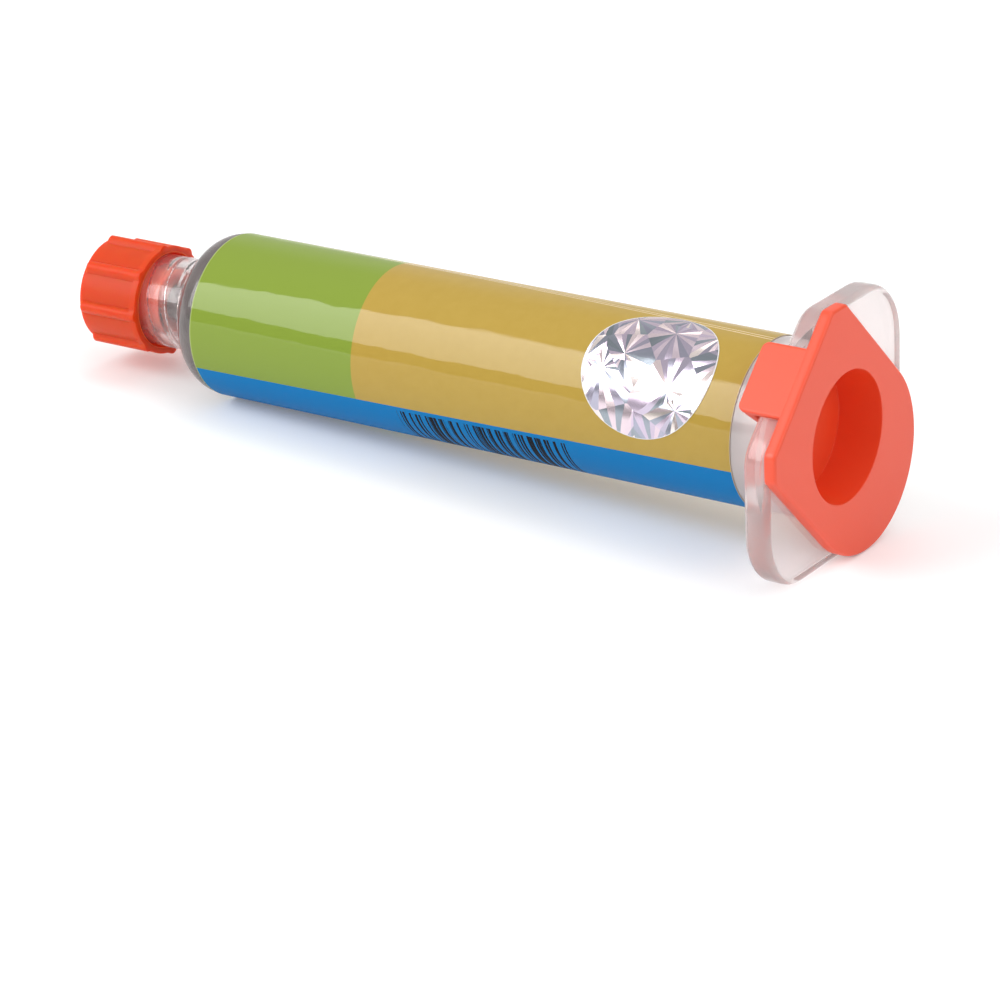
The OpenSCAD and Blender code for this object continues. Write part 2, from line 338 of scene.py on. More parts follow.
def clear_finish():
    clear = finish_of("clear_polypropylene", Base_Color=ink(240, 232, 231), Roughness=0.12, IOR=1.49)
    grain(clear, 2.5, 0.25, 0.05)
    along = parts_of(clear, standing(clear))["Z"]
    clearer = ranged(clear, along, wall_from, nose_from, clear_wall, clear_nose)
    in_flange = maths(clear, "LESS_THAN", along, flange_front)
    more = maths(clear, "MULTIPLY", in_flange, clear_flange - clear_wall)
    drive(clear, "Transmission Weight", maths(clear, "ADD", clearer, more))
    lets_light_through(clear, (0.93, 0.93, 0.93, 1))
    return clear


# %% [markdown]
# The sizes that are measured on the syringe come first, and the others follow from
# them. The funnel runs parallel to the shoulder and is rounded round the same centre,
# so the wall keeps its thickness.

# %% Sizes of the barrel
barrel_r, bore_r, flange_t, flange_edge = 9.4, 7.95, 3.1, 0.8
shoulder_at, shoulder_len, shoulder_round, funnel_len = 81.2, 3.2, 3.0, 2.9
collar_r, chamber_r, collar_len, collar_sink = 5.4, 4.1, 8.4, 0.2
tip_out, tip_end_r, tip_taper, channel_r = 2.1, 1.975, 0.06, 1.1
collar_foot = shoulder_at + shoulder_len
chamber_floor, collar_end = collar_foot - collar_sink, collar_foot + collar_len
tip_end = collar_end + tip_out
wall = barrel_r - bore_r
slope = math.atan2(barrel_r - collar_r, shoulder_len)
shoulder_turn = math.degrees(slope)
bore_end, bore_round = shoulder_at - wall * math.tan(slope / 2), shoulder_round - wall
knee_end = bore_end + (bore_r - collar_r) / math.tan(slope)
funnel_end = bore_end + funnel_len
BARREL_STEPS = 128
print("the shoulder turns in by", round(shoulder_turn, 2), "degrees")


def tip_r(height):
    """Radius of the tapered tip at a height."""
    return tip_end_r + (tip_end - height) * tip_taper / 2


# %% [markdown]
# The flange is a lozenge round four small discs and two large ones. Each small disc
# touches the line at 45 degrees that also touches the large one next to it. A string
# pulled tight round all of them gives the outline, and its reach at an angle is the
# shortest way to any of the tight lines.

# %% The flange's outline
flange_len, flange_w, ear_r, corner_r = 34.2, 23, 7.2, 4
ear_at, corner_x = flange_len / 2 - ear_r, flange_w / 2 - corner_r
corner_y = ear_at + math.sqrt(2) * (ear_r - corner_r) - corner_x


def outline_round(discs):
    """The reach of the outline pulled tight round discs of (x, y, radius)."""
    turns = [math.radians(degree) for degree in range(360)]
    spans = [max(x * math.cos(t) + y * math.sin(t) + r for x, y, r in discs) for t in turns]

    def reach(angle):
        facing = [(math.cos(angle - t), span) for t, span in zip(turns, spans)]
        return min(span / cosine for cosine, span in facing if cosine > 0.02)
    return reach


ear_discs = [(0, side * ear_at, ear_r) for side in (-1, 1)]
corner_discs = [(x * corner_x, y * corner_y, corner_r) for x in (-1, 1) for y in (-1, 1)]
flange_reach = outline_round(ear_discs + corner_discs)
print("the flange is", round(2 * flange_reach(math.pi / 2), 2), "by", round(2 * flange_reach(0), 2), "mm")

# %% [markdown]
# The thread in the collar has two starts and a lead of 5 mm, so its ridges lie 2.5 mm
# apart. It could be swept as a helix and joined, but a join in a clear wall shows.
# So the chamber's own wall is cut into narrow bands, and each corner is pushed inwards
# where the ridge passes. The ridges fade out short of the floor and the rim.

# %% The thread in the collar
lead, starts, thread_turn = 5, 2, math.radians(155)
ridge_h, ridge_w, ridge_flank = 0.3, 0.55, 0.22
off_floor, off_rim, fade_len = 0.3, 0.5, 0.5
THREAD_CUTS = 72


def ridge_height(angle, height):
    """How far the thread stands out of the chamber's wall."""
    pitch = lead / starts
    climb = height - (angle - thread_turn) / math.tau * lead
    away = abs((climb + pitch / 2) % pitch - pitch / 2)
    share = (ridge_w / 2 + ridge_flank - away) / ridge_flank
    fade = min(height - chamber_floor - off_floor, collar_end - off_rim - height) / fade_len
    return ridge_h * max(0, min(1, share)) * max(0, min(1, fade))


def on_chamber(vert):
    return abs(vert.co.xy.length - chamber_r) < slack


def cut_thread(bm):
    """Cuts the chamber's wall into bands and pushes the ridges in."""
    walls = [edge for edge in bm.edges if all(on_chamber(vert) for vert in edge.verts)
             and abs(edge.verts[0].co.z - edge.verts[1].co.z) > collar_len / 2]
    bmesh.ops.subdivide_edges(bm, edges=walls, cuts=THREAD_CUTS)
    for vert in bm.verts:
        if on_chamber(vert) and chamber_floor < vert.co.z < collar_end:
            angle = math.atan2(vert.co.y, vert.co.x)
            vert.co.xy = vert.co.xy.normalized() * (chamber_r - ridge_height(angle, vert.co.z))


# %% [markdown]
# The barrel's wall is a loft of round rings: the outside from the flange to the rim of
# the collar, back down the chamber round the Luer tip, up the tip, and back through
# its channel, the funnel and the bore to the mouth. Each edge then gets the radius
# that the mould gives it, and the thread comes last.

# %% The barrel
def barrel_moulding():
    bm = lofted([
        (flange_reach, flange_t), (barrel_r, flange_t), (barrel_r, shoulder_at), (collar_r, collar_foot),
        (collar_r, collar_end), (chamber_r, collar_end), (chamber_r, chamber_floor),
        (tip_r(chamber_floor), chamber_floor), (tip_r(tip_end), tip_end), (channel_r, tip_end),
        (channel_r, funnel_end), (collar_r, knee_end), (bore_r, bore_end), (bore_r, 0), (flange_reach, 0),
    ], BARREL_STEPS, closed=True)
    round_off(bm, ring_at(bm, flange_reach, 0) + ring_at(bm, flange_reach, flange_t), flange_edge, 6)
    round_off(bm, ring_at(bm, barrel_r, flange_t), 0.4, 3)
    round_off(bm, ring_at(bm, barrel_r, shoulder_at), shoulder_round, 10, turn=shoulder_turn)
    round_off(bm, ring_at(bm, collar_r, collar_foot), 0.5, 4, turn=shoulder_turn)
    round_off(bm, ring_at(bm, collar_r, collar_end) + ring_at(bm, chamber_r, collar_end), 0.3, 3)
    round_off(bm, ring_at(bm, tip_r(tip_end), tip_end), 0.3, 3)
    round_off(bm, ring_at(bm, bore_r, bore_end), bore_round, 8, turn=shoulder_turn)
    round_off(bm, ring_at(bm, bore_r, 0), 0.2, 2)
    cut_thread(bm)
    return bm


finished("barrel_moulding", barrel_moulding(), "barrel", "barrel", clear_finish())

# %% [markdown]
# Both caps are moulded in orange polyethylene. Light goes a little way into it and
# comes out redder, which subsurface scattering does. The thin tip cap glows all
# through, and the end cap only a little. The end cap's ink is paler than the tip
# cap's, though both caps are one plastic: that difference is painted light.

# %% Orange polyethylene
def orange_finish(name, colour, rough, gloss, glow, depth):
    """A finish that lets some of the light in. glow is its share and depth is in millimetres."""
    orange = finish_of(name, Base_Color=colour, Roughness=rough, Specular_IOR_Level=gloss,
                       Subsurface_Weight=glow, Subsurface_Radius=(1.0, 0.25, 0.1),
                       Subsurface_Scale=depth * MM)
    grain(orange, 0.35, 0.25, 0.02, detail=3.0)
    return orange


# %% [markdown]
# The tip cap is a cup with a post in it. Its rim stands off the shoulder, and the hole
# in its post is the tip's own taper with a small gap round it.

# %% Sizes of the tip cap
cap_r, cap_len, cap_standoff, skirt_r, skirt_depth = 6.15, 8.5, 5.6, 5.65, 4.5
ribs, rib_r, rib_at, rib_short, rib_edge, cap_turn = 8, 0.75, 6.0, 0.5, 0.12, math.radians(43.7)
rim_out, rim_w, rim_slope = 0.25, 0.9, 0.1
post_r, post_out, post_hole, luer_gap = 3.65, 2, 7.6, 0.04
cap_rim = collar_foot + cap_standoff
cap_end = cap_rim + cap_len
rib_end, skirt_floor = cap_end - rib_short, cap_rim + skirt_depth
rim_r, rim_end = cap_r + rim_out, cap_rim + rim_w
post_start = cap_rim - post_out
hole_end = post_start + post_hole
hole_r, hole_end_r = tip_r(post_start) + luer_gap, tip_r(hole_end) + luer_gap
CAP_STEPS = 192
print("the tip cap goes from", round(cap_rim, 2), "to", round(cap_end, 2), "mm")

# %% [markdown]
# Eight ribs for the fingers run along the cap, each rounded like half a rod. The
# outline's reach at an angle is the larger of the cap's own radius and the ray's way
# through the nearest rib. The ribs stop short of the closed end, and a low ring goes
# round the rim between them.

# %% The tip cap
def cap_reach(angle):
    """The ribbed outline's reach."""
    step = math.tau / ribs
    off = (angle - cap_turn + step / 2) % step - step / 2
    side = rib_at * math.sin(off)
    if abs(side) >= rib_r:
        return cap_r
    return max(cap_r, rib_at * math.cos(off) + math.sqrt(rib_r ** 2 - side ** 2))


def rib_top(angle):
    """The outline at the very end of the ribs, where their edge is broken."""
    return max(cap_r, cap_reach(angle) - rib_edge)


def rim_reach(angle):
    """The outline with the ring between the ribs."""
    return max(rim_r, cap_reach(angle))


def tip_cap_moulding():
    bm = lofted([
        (cap_r, cap_end), (cap_r, rib_end), (rib_top, rib_end), (cap_reach, rib_end - rib_edge),
        (cap_reach, rim_end + rim_slope), (rim_reach, rim_end - rim_slope), (rim_reach, cap_rim),
        (skirt_r, cap_rim), (skirt_r, skirt_floor), (post_r, skirt_floor), (post_r, post_start),
        (hole_r, post_start), (hole_end_r, hole_end),
    ], CAP_STEPS)
    round_off(bm, ring_at(bm, cap_r, cap_end), 0.25, 3)
    round_off(bm, ring_at(bm, rim_reach, cap_rim), 0.12, 2)
    round_off(bm, ring_at(bm, post_r, post_start), 0.6, 4)
    round_off(bm, ring_at(bm, hole_r, post_start), 0.15, 2)
    return bm


# %% [markdown]
# Light comes through the thin skirt and makes its inside glow round the clear collar.
# In a few samples little of it would get there. So a lamp's light is let through each
# surface a little, and the inside gets a brighter ink, a painted glow.

# %% The tip cap's finish
# The inside ink is a painted glow, brighter than the outside.
tip_outside, tip_inside_painted_glow, into_walls = ink(209, 66, 14), ink(255, 96, 48), 0.1


def painted_glow_inside_skirt(material):
    """Where the glow is painted: one inside the tip cap's skirt, and nought elsewhere."""
    parts = parts_of(material, standing(material))
    across = add(material, "ShaderNodeCombineXYZ", {0: parts["X"], 1: parts["Y"]}).outputs[0]
    reach = vectors(material, "LENGTH", across)["Value"]
    return between(material, reach, post_r - into_walls, skirt_r + into_walls)


tip_orange = orange_finish("tip_cap_orange", tip_outside, 0.44, 0.28, 1.0, 2.2)
# The inside of the skirt gets the brighter ink: painted glow.
drive(tip_orange, "Base Color", overprint(tip_orange, tip_outside, tip_inside_painted_glow, painted_glow_inside_skirt(tip_orange)))
lets_light_through(tip_orange, (0.55, 0.22, 0.14, 1))
finished("tip_cap_moulding", tip_cap_moulding(), "tip_cap", "tip_cap", tip_orange)

# %% [markdown]
# The end cap is a plate with a round lobe and two cut corners, a plug that fills
# the barrel's mouth, and a recess pressed into the plug from behind. The plate's
# outline and the plug are one loft.

# %% The end cap's plate and plug
hook_gap, hook_back, plug_gap, plug_floor = 0.1, 0.9, 0.06, 1.0
plate_t, lobe_at, lobe_r, plate_chamfer, plate_corner_r = 1.4, -5.4, 10.6, 2.1, 0.8
recess_r, recess_floor_r, recess_depth = 7.3, 7.0, 5.2
recess_floor, plug_r = recess_depth - plate_t, bore_r - plug_gap
plug_end = recess_floor + plug_floor
hook_in = flange_w / 2 + hook_gap
plate_top = hook_in + hook_back
corner_in = plate_chamfer + (math.sqrt(2) - 1) * plate_corner_r
plate_corners = [(plate_top - plate_corner_r, lobe_r - corner_in),
                 (plate_top - corner_in, lobe_r - plate_corner_r)]
plate_reach = outline_round([(lobe_at, 0, lobe_r)]
                            + [(x, side * y, plate_corner_r) for x, y in plate_corners for side in (-1, 1)])
PLATE_STEPS = 320


def plate_and_plug():
    bm = lofted([
        (recess_floor_r, recess_floor), (recess_r, -plate_t), (plate_reach, -plate_t), (plate_reach, 0),
        (plug_r, 0), (plug_r, plug_end),
    ], PLATE_STEPS)
    round_off(bm, ring_at(bm, plate_reach, -plate_t), 0.35, 4)
    round_off(bm, ring_at(bm, plate_reach, 0), 0.15, 2)
    round_off(bm, ring_at(bm, recess_r, -plate_t), 0.12, 2)
    round_off(bm, ring_at(bm, recess_floor_r, recess_floor), 0.2, 2)
    round_off(bm, ring_at(bm, plug_r, plug_end), 0.3, 3)
    return bm


# %% [markdown]
# The hook that grips the flange is square to the plate's outline, so it can't be part
# of that loft. It's drawn flat, extruded to its width, and joined with a Boolean. It
# starts in the middle of the plate and ends a hair inside the plate's edge, so that no
# faces of the two lie in one plane.

# %% The end cap's hook
hook_w, hook_hair, hook_corner, hook_edge = 8.2, 0.02, 0.8, 0.3
lip_gap, lip_t, lip_ramp = 0.3, 2.0, 1.0
hook_out, lip_in, lip_from = plate_top - hook_hair, barrel_r + lip_gap, flange_t + hook_gap
lip_to, hook_root = lip_from + lip_t, -plate_t / 2
# An edge is sharp where its faces turn by more than this, in radians
sharp_from = 0.5


def hook():
    bm = bmesh.new()
    outline = [(hook_out, hook_root), (hook_out, lip_to), (lip_in, lip_to - lip_ramp),
               (lip_in, lip_from), (hook_in, lip_from), (hook_in, hook_root)]
    face = bm.faces.new([bm.verts.new((x, -hook_w / 2, z)) for x, z in outline])
    made = bmesh.ops.extrude_face_region(bm, geom=[face])
    moved = [part for part in made["geom"] if isinstance(part, bmesh.types.BMVert)]
    bmesh.ops.translate(bm, verts=moved, vec=(0, hook_w, 0))
    bmesh.ops.recalc_face_normals(bm, faces=bm.faces)
    ramp_ends = [edge for edge in bm.edges if min(vert.co.z for vert in edge.verts) > lip_from + slack
                 and abs(edge.verts[0].co.y - edge.verts[1].co.y) < slack]
    round_off(bm, ramp_ends, hook_corner, 5)
    sharp = [edge for edge in bm.edges if len(edge.link_faces) == 2 and edge.calc_face_angle() > sharp_from
             and max(vert.co.z for vert in edge.verts) > hook_root + slack]
    round_off(bm, sharp, hook_edge, 3)
    return bm


# %% [markdown]
# A Boolean works on objects, so the two parts become objects for a moment. What it
# makes is read back into a mesh under work, and the two parts are removed.

# %% The end cap
def joined(first, second):
    """Two solids made one."""
    parts = []
    for bm in (first, second):
        bmesh.ops.recalc_face_normals(bm, faces=bm.faces)
        mesh = bpy.data.meshes.new("part to join")
        bm.to_mesh(mesh)
        bm.free()
        parts.append(bpy.data.objects.new("part to join", mesh))
        bpy.context.scene.collection.objects.link(parts[-1])
    boolean = parts[0].modifiers.new("join", "BOOLEAN")
    boolean.operation, boolean.solver, boolean.object = "UNION", "EXACT", parts[1]
    whole = bpy.data.meshes.new_from_object(parts[0].evaluated_get(bpy.context.evaluated_depsgraph_get()))
    bm = bmesh.new()
    bm.from_mesh(whole)
    for part in parts:
        bpy.data.objects.remove(part)
    bpy.data.meshes.remove(whole)
    return bm


# The end cap's ink, paler than the tip cap's, is painted light.
end_orange_painted_paler = orange_finish("end_cap_orange", ink(236, 71, 24), 0.45, 0.82, 0.15, 1.5)
end_cap = joined(plate_and_plug(), hook())
finished("end_cap_moulding", end_cap, "end_cap", "end_cap", end_orange_painted_paler)

# %% [markdown]
# The piston is a thin cup of natural polyethylene with a pointed front and two wiping
# lips. It lies just behind the paste, which fills the last 40 mm of the bore, and it
# shows once the end cap is off.

# %% The piston
paste_len, paste_gap, wiper_gap = 40, 0.12, 0.04
piston_len, piston_nose, piston_wall, wiper_w, waist = 10, 3.4, 1.1, 1.6, 0.4
paste_start = bore_end - paste_len
cone_foot = paste_start - paste_gap
piston_end, wiper_r = cone_foot - piston_len, bore_r - wiper_gap
waist_r = wiper_r - waist
inner_r = waist_r - piston_wall


def piston_moulding():
    bm = lofted([
        (channel_r, cone_foot + piston_nose - piston_wall), (inner_r, cone_foot - piston_wall),
        (inner_r, piston_end), (wiper_r, piston_end), (wiper_r, piston_end + wiper_w),
        (waist_r, piston_end + wiper_w + waist), (waist_r, cone_foot - wiper_w - waist),
        (wiper_r, cone_foot - wiper_w), (wiper_r, cone_foot), (channel_r, cone_foot + piston_nose),
    ], BARREL_STEPS)
    round_off(bm, ring_at(bm, inner_r, piston_end) + ring_at(bm, wiper_r, piston_end), 0.2, 2)
    round_off(bm, ring_at(bm, wiper_r, cone_foot), 0.15, 2)
    round_off(bm, ring_at(bm, inner_r, cone_foot - piston_wall), 0.5, 3, turn=32)
    return bm


piston_white = finish_of("piston_white", Base_Color=ink(236, 236, 228), Roughness=0.4,
                         Subsurface_Weight=0.2, Subsurface_Radius=(1, 1, 1), Subsurface_Scale=0.001)
grain(piston_white, 0.4, 0.2, 0.02)
finished("piston_moulding", piston_moulding(), "piston", "piston", piston_white)

# %% [markdown]
# The paste is a metal powder in flux: dark grey, dull, with a fine grain, and patches
# a little lighter than others. Two sizes of clouds are added up, and a colour ramp
# makes two greys of them.

# %% The paste's finish
powder_share, powder_dark, powder_light = 0.4, ink(66, 61, 60), ink(93, 87, 86)


def paste_finish():
    paste = finish_of("solder_paste_grey", Roughness=0.55, Metallic=0.0)
    powder = grain(paste, 0.12, 0.35, 0.03, detail=3.0)
    patches = clouds(paste, standing(paste), 0.35, 3.0)
    fine = maths(paste, "MULTIPLY", powder, powder_share)
    coarse = maths(paste, "MULTIPLY", patches, 1.0 - powder_share)
    ramp = add(paste, "ShaderNodeValToRGB", {"Fac": maths(paste, "ADD", fine, coarse)})
    darker, lighter = ramp.color_ramp.elements
    darker.position, lighter.position = 0.4, 0.6
    darker.color, lighter.color = powder_dark, powder_light
    drive(paste, "Base Color", ramp.outputs["Color"])
    return paste


# %% [markdown]
# The paste wets the wall, and there is no air between them to mirror the light. So
# its skin lies a hair inside the wall's own plastic. As the piston comes forward, the
# rear of the paste has to go with it and the front has to stay, and what is between
# gets shorter. So the loft has no ring between the two ends of the straight bore.

# %% The paste's body
wetting, paste_short = 0.03, 0.3
skin_r = bore_r + wetting


def paste_body():
    bm = lofted([
        (channel_r, paste_start + piston_nose), (skin_r, paste_start), (skin_r, bore_end),
        (collar_r, knee_end + wetting), (channel_r + wetting, funnel_end + wetting),
        (channel_r + wetting, tip_end - paste_short),
    ], BARREL_STEPS)
    round_off(bm, ring_at(bm, skin_r, bore_end), bore_round, 8, turn=shoulder_turn)
    return bm


# %% [markdown]
# The label is a printed film with a gloss laminate. Its print is fields of colour with
# no lettering: green towards the nose, gold behind, and a blue band below with plain bars.
# The film was wound on a little askew, so the print's own directions are turned by a
# degree against the barrel's. The bars are two rows of stripes of random widths, and
# show where both rows do.

# %% The label's fields of colour
film_t, label_start, label_len, label_skew = 0.08, 7.4, 72, 0.0173
label_in, label_end = label_r - film_t, label_start + label_len
green_from, blue_below, blue_to = 56.75, -9.94, -21.0
gold_dark, gold_light, green, blue = ink(175, 145, 62), ink(182, 152, 70), ink(130, 152, 56), ink(0, 117, 182)
bars_from, bars_to, bars_top, bars_foot, bar_black = 28.5, 51.5, -10.5, -17.2, ink(8, 10, 20)
# The step and the least share of the wide stripes and of the fine ones
wide_stripes, fine_stripes = (1.07, 0.35), (0.43, 0.45)


def stripes(material, place, step, least):
    """One stripe in each step along a place, of a random share of it from least upwards."""
    steps = maths(material, "DIVIDE", place, step)
    number = maths(material, "FLOOR", steps)
    key = add(material, "ShaderNodeTexWhiteNoise", {"W": number}, noise_dimensions="1D")
    share = ranged(material, key.outputs["Value"], 0.0, 1.0, least, 1.0)
    return maths(material, "LESS_THAN", maths(material, "FRACT", steps), share)


def printed_fields(film, along, around):
    """The print's colour, and one where it is the blue band."""
    askew = maths(film, "MULTIPLY", maths(film, "SUBTRACT", along, label_start), label_skew)
    down = maths(film, "ADD", around, askew)
    across = maths(film, "SUBTRACT", along, maths(film, "MULTIPLY", around, label_skew))
    gold = overprint(film, gold_dark, gold_light, clouds(film, standing(film), 0.8, 3.0))
    colour = overprint(film, gold, green, maths(film, "GREATER_THAN", across, green_from))
    in_blue = between(film, down, blue_to, blue_below)
    colour = overprint(film, colour, blue, in_blue)
    in_length = between(film, across, bars_from, bars_to)
    bars = maths(film, "MULTIPLY", in_length, between(film, down, bars_foot, bars_top))
    for step, least in (wide_stripes, fine_stripes):
        bars = maths(film, "MULTIPLY", bars, stripes(film, across, step, least))
    return overprint(film, colour, bar_black, bars), in_blue


# %% [markdown]
# The film's end laps over its start in a fine seam near the top. The seam and the two
# cut edges show as fine pale lines. The laminate isn't quite flat, which makes the
# edges of its reflections wander, and over the blue band it mirrors a little less. It
# is the coat of the Principled shader, with waves of its own under a dull print.

# %% The label's edges and gloss
seam_at, seam_slope, seam_lap, seam_w, rear_edge_w, front_edge_w = 6.7, 0.05, 0.5, 0.12, 0.08, 0.1
seam_pale, rear_pale, front_pale = ink(236, 214, 176), ink(182, 167, 140), ink(170, 184, 112)
gloss, blue_gloss, wave_stretch = 0.5, 0.24, 0.35


def cut_edges(film, colour, along, around):
    """Lays the pale lines of the seam and of the two cut edges over a colour."""
    seam_line = maths(film, "ADD", maths(film, "MULTIPLY", along, seam_slope), seam_at)
    past_seam = maths(film, "SUBTRACT", around, seam_line)
    for line in (0.0, seam_lap):
        colour = overprint(film, colour, seam_pale, between(film, past_seam, line, line + seam_w))
    at_rear = maths(film, "LESS_THAN", along, label_start + rear_edge_w)
    at_front = maths(film, "GREATER_THAN", along, label_end - front_edge_w)
    return overprint(film, overprint(film, colour, rear_pale, at_rear), front_pale, at_front)


def print_finish():
    film = finish_of("printed_film", Roughness=0.35, Specular_IOR_Level=0.0,
                     Coat_Roughness=0.05, Coat_IOR=1.6)
    along, around = along_and_round(film)
    colour, in_blue = printed_fields(film, along, around)
    drive(film, "Base Color", cut_edges(film, colour, along, around))
    drive(film, "Coat Weight", ranged(film, in_blue, 0.0, 1.0, gloss, blue_gloss))
    stretched = vectors(film, "MULTIPLY", standing(film), (1, 1, wave_stretch))["Vector"]
    drive(film, "Coat Normal", bumps(film, clouds(film, stretched, 0.35, 2.0), 0.5, 0.12))
    return film


# %% [markdown]
# The film itself is a thin tube, a closed loft of four round rings. It stands a hair
# off the barrel, where its glue is.

# %% The label
label_film = lofted([
    (label_in, label_start), (label_r, label_start), (label_r, label_end), (label_in, label_end),
], BARREL_STEPS, closed=True)
finished("printed_label", label_film, "barrel", "label", print_finish())

# %% [markdown]
# The round sticker is foil embossed with fans of tiny facets, each of which mirrors
# another part of the room and splits the light in its own pastel. The fans are the
# cells of a Voronoi pattern, cut into blades by the angle round each cell's middle.
# Every blade then draws its own way to lean, and its own tint and level: these are
# painted into its colour, a painted sheen for the pastel and a painted reflection for
# how bright the facet mirrors the room.

# %% The foil's facets
foil_r, foil_turn, sticker_at, foil_rim = 8.0, math.radians(-1), 11.6, 0.13
foil_mid = label_start + sticker_at
fan_size, fan_blades, tilt, fan_key = 4.9, 26, 0.34, (7.13, 3.77, 0)
hue_from, hue_to, dimmest = 0.08, 0.57, 0.42
pink, silver, rim_white = (0.95, 0.45, 0.5, 1), (0.86, 0.88, 0.9, 1), ink(226, 226, 226)


def facet_key(foil, flat):
    """A random number and a random colour for the facet at a place."""
    cells = add(foil, "ShaderNodeTexVoronoi", {"Vector": flat, "Scale": 1 / fan_size},
                voronoi_dimensions="2D")
    middle = cells.outputs["Position"]
    spoke = parts_of(foil, vectors(foil, "SUBTRACT", flat, middle)["Vector"])
    angle = maths(foil, "ARCTAN2", spoke["Y"], spoke["X"])
    blade = maths(foil, "FLOOR", maths(foil, "MULTIPLY", angle, fan_blades / math.tau))
    seed = vectors(foil, "MULTIPLY", middle, fan_key)["Vector"]
    key = add(foil, "ShaderNodeTexWhiteNoise", {"Vector": seed, "W": blade}, noise_dimensions="4D")
    return key.outputs["Value"], key.outputs["Color"]


def painted_facet_sheen(foil, number):
    """Painted sheen and reflection: a pastel of a random hue at a random level."""
    tint = add(foil, "ShaderNodeHueSaturation",
               {"Hue": ranged(foil, number, 0.0, 1.0, hue_from, hue_to), "Saturation": 0.65,
                "Value": 1.0, "Fac": 1.0, "Color": pink})
    pastel = overprint(foil, tint.outputs[0], silver, 0.5)
    return vectors(foil, "MULTIPLY", pastel, ranged(foil, number, 0.0, 1.0, dimmest, 1.0))["Vector"]


def facet_lean(foil, colour):
    """The surface's own direction, leant by a random colour."""
    random_way = vectors(foil, "SUBTRACT", colour, (0.5, 0.5, 0.5))["Vector"]
    lean = add(foil, "ShaderNodeVectorMath", {0: random_way, 3: tilt}, operation="SCALE").outputs[0]
    face = add(foil, "ShaderNodeNewGeometry").outputs["Normal"]
    leaning = vectors(foil, "ADD", face, lean)["Vector"]
    return vectors(foil, "NORMALIZE", leaning)["Vector"]


# %% [markdown]
# The finish puts the facets together. All of the foil is metal but its fine white rim,
# which is ink.

# %% The foil's finish
def foil_finish():
    foil = finish_of("hologram_foil", Roughness=0.22)
    along, around = along_and_round(foil)
    flat = add(foil, "ShaderNodeCombineXYZ", {0: along, 1: around}).outputs[0]
    number, colour = facet_key(foil, flat)
    from_mid = vectors(foil, "DISTANCE", flat, (foil_mid, foil_turn * label_r, 0))["Value"]
    rim = maths(foil, "GREATER_THAN", from_mid, foil_r - foil_rim)
    # The facets' colours are painted sheen and painted reflection.
    drive(foil, "Base Color", overprint(foil, painted_facet_sheen(foil, number), rim_white, rim))
    drive(foil, "Metallic", maths(foil, "SUBTRACT", 1.0, rim))
    drive(foil, "Normal", facet_lean(foil, colour))
    return foil


# %% [markdown]
# The sticker is a disc made of rings. It's drawn flat and wrapped round the label by
# turning its height on the flat into an angle, and the rings let it bend smoothly.

# %% The hologram sticker
foil_t, foil_gap, FOIL_RINGS = 0.06, 0.01, 10
foil_in = label_r + foil_gap
foil_out = foil_in + foil_t


def foil_disc():
    """A disc of rings, wrapped round the barrel over the label."""
    bm = bmesh.new()
    bmesh.ops.create_circle(bm, cap_ends=True, segments=64, radius=foil_r)
    faces = list(bm.faces)
    for _ in range(FOIL_RINGS):
        bmesh.ops.inset_region(bm, faces=faces, thickness=foil_r / (FOIL_RINGS + 1), use_boundary=True)
    copied = bmesh.ops.extrude_face_region(bm, geom=list(bm.faces))
    lifted = {part for part in copied["geom"] if isinstance(part, bmesh.types.BMVert)}
    for vert in bm.verts:
        radius = foil_out if vert in lifted else foil_in
        angle = foil_turn + vert.co.y / foil_out
        vert.co = (radius * math.cos(angle), radius * math.sin(angle), foil_mid + vert.co.x)
    return bm


finished("hologram_foil_disc", foil_disc(), "barrel", "hologram_sticker", foil_finish())

# %% [markdown]
# The room is a plain pale one. The floor is white, and adds a little light of its own
# for the camera, and for what mirrors it or lets it through. So it comes out white but
# keeps the syringe's shadow. Further off, where the lamps don't reach, it adds more, and
# it meets the world without a line.

# %% The floor
near_glow, far_glow, glow_from, glow_to = 0.14, 0.6, 0.3, 0.9


def floor_glow(pale):
    """How much light the floor adds."""
    rays = add(pale, "ShaderNodeLightPath").outputs
    seen = maths(pale, "MAXIMUM", rays["Is Glossy Ray"], rays["Is Transmission Ray"])
    seen = maths(pale, "MAXIMUM", rays["Is Camera Ray"], seen)
    place = add(pale, "ShaderNodeTexCoord").outputs["Object"]
    away = vectors(pale, "LENGTH", place)["Value"]
    return maths(pale, "MULTIPLY", seen, ranged(pale, away, glow_from, glow_to, near_glow, far_glow))


def pale_finish():
    pale = finish_of("pale_floor", Base_Color=(0.9, 0.905, 0.91, 1), Roughness=0.9, Specular_IOR_Level=0.1)
    glow = add(pale, "ShaderNodeEmission", {"Color": (1, 1, 1, 1), "Strength": floor_glow(pale)})
    show(pale, add(pale, "ShaderNodeAddShader", {0: principled(pale).outputs[0], 1: glow.outputs[0]}))
    return pale


def pale_floor():
    bm = bmesh.new()
    bmesh.ops.create_grid(bm, x_segments=1, y_segments=1, size=3)
    mesh = bpy.data.meshes.new("floor")
    bm.to_mesh(mesh)
    bm.free()
    mesh.materials.append(pale_finish())
    floor = bpy.data.objects.new("floor", mesh)
    bpy.context.scene.collection.objects.link(floor)


pale_floor()

# %% [markdown]
# The world is white to look at. What it lights and what the film mirrors is a dim room
# in front, which keeps the edges of the soft boxes clear, and a pale backdrop behind.

# %% The world
low_room, high_room, full_height = 0.22, 0.7, 0.9
backdrop_way, backdrop_from, backdrop_full, backdrop_light = (-0.55, 0.83, 0), 0.3, 0.9, 0.85


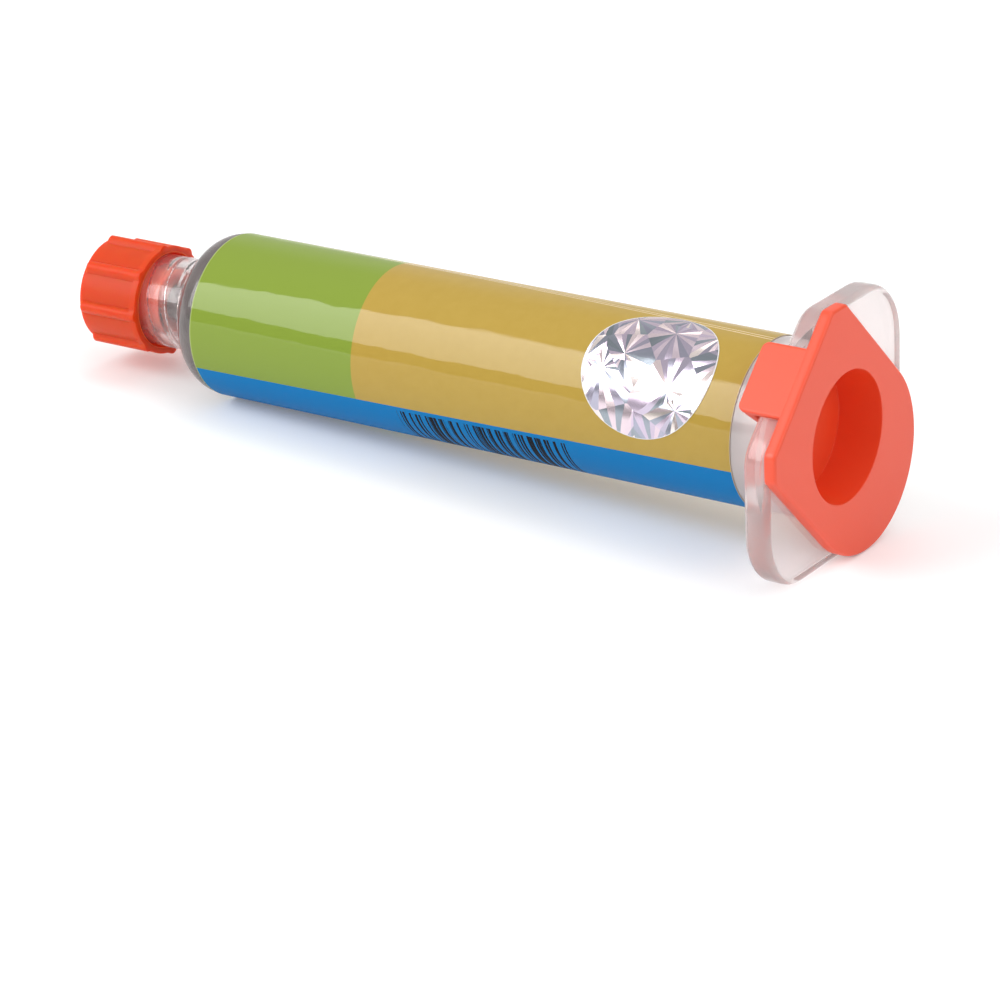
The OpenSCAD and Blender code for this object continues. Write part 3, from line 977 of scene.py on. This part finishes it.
def pale_world():
    world = bpy.data.worlds.new("pale room")
    world.use_nodes = True
    bpy.context.scene.world = world
    place = add(world, "ShaderNodeTexCoord").outputs["Generated"]
    room = ranged(world, parts_of(world, place)["Z"], 0.0, full_height, low_room, high_room)
    behind = vectors(world, "DOT_PRODUCT", place, backdrop_way)["Value"]
    backdrop = ranged(world, behind, backdrop_from, backdrop_full, 0.0, backdrop_light)
    rays = add(world, "ShaderNodeLightPath").outputs
    seen = maths(world, "MAXIMUM", rays["Is Camera Ray"], rays["Is Transmission Ray"])
    level = maths(world, "MAXIMUM", maths(world, "MAXIMUM", room, backdrop), seen)
    sky = world.node_tree.nodes["Background"]
    sky.inputs["Color"].default_value = (1, 1, 1, 1)
    world.node_tree.links.new(level, sky.inputs["Strength"])


pale_world()

# %% [markdown]
# Soft boxes give the film its long white reflection. The main one stands to the left
# of the camera, from about 13 to 52 degrees above the table. It is brightest high up,
# dimmer at its foot, and fades at its very top. A second one on the right lights the
# end cap, and a large one hangs overhead.

# %% Soft boxes
def soft_box(name, azimuth, elevation, distance, width, height, power, foot_share=1.0, fade=0.0):
    """An area lamp aimed at the syringe, by the angle from +X and the one above the table.

    At its foot it has a share of its light, and at its top it fades over a share of its height."""
    lamp = bpy.data.lights.new(name, "AREA")
    lamp.shape, lamp.size, lamp.size_y, lamp.energy = "RECTANGLE", width, height, power
    box = bpy.data.objects.new(name, lamp)
    turn, rise = math.radians(azimuth), math.radians(elevation)
    way = Vector((math.cos(turn) * math.cos(rise), math.sin(turn) * math.cos(rise), math.sin(rise)))
    box.location = way * distance
    box.rotation_euler = (-way).to_track_quat("-Z", "Y").to_euler()
    box.visible_camera = False
    bpy.context.scene.collection.objects.link(box)
    lamp.use_nodes = True
    up = parts_of(lamp, add(lamp, "ShaderNodeNewGeometry").outputs["Parametric"])["Y"]
    level = ranged(lamp, up, 0.0, 1.0, foot_share, 1.0)
    if fade:
        level = maths(lamp, "MULTIPLY", level, ranged(lamp, up, 1.0 - fade, 1.0, 1.0, 0.0))
    lamp.node_tree.links.new(level, lamp.node_tree.nodes["Emission"].inputs["Strength"])


soft_box("left box", -127.5, 32.8, 0.7, 0.4, 0.5, 3.8, foot_share=0.7, fade=0.08)
soft_box("right box", -12, 36, 0.8, 0.5, 0.5, 1.6)
soft_box("top box", 80, 69, 0.9, 0.8, 0.6, 2.0)

# %% [markdown]
# The camera has a long lens and looks down on the table by 24 degrees.

# %% The camera
camera_data = bpy.data.cameras.new("camera")
camera_data.lens, camera_data.sensor_width = 149.56, 36
camera = bpy.data.objects.new("camera", camera_data)
camera.location = (0.24433, -0.35341, 0.18627)
aim = Vector((-0.510967, 0.756614, -0.40798))
roll = math.radians(0.844)
camera.rotation_euler = (aim.to_track_quat("-Z", "Y").to_matrix() @ Matrix.Rotation(roll, 3, "Z")).to_euler()
bpy.context.scene.collection.objects.link(camera)
bpy.context.scene.camera = camera
bpy.context.scene.view_settings.view_transform = "Standard"

# %% [markdown]
# The paste is finished last. Its mesh is left in its final place, and the paste
# of the imported model is hidden.

# %% The paste between the piston and the nose
paste_piece = laid("paste_filling", paste_body(), paste_finish())
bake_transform(paste_piece)
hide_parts("solder_paste")
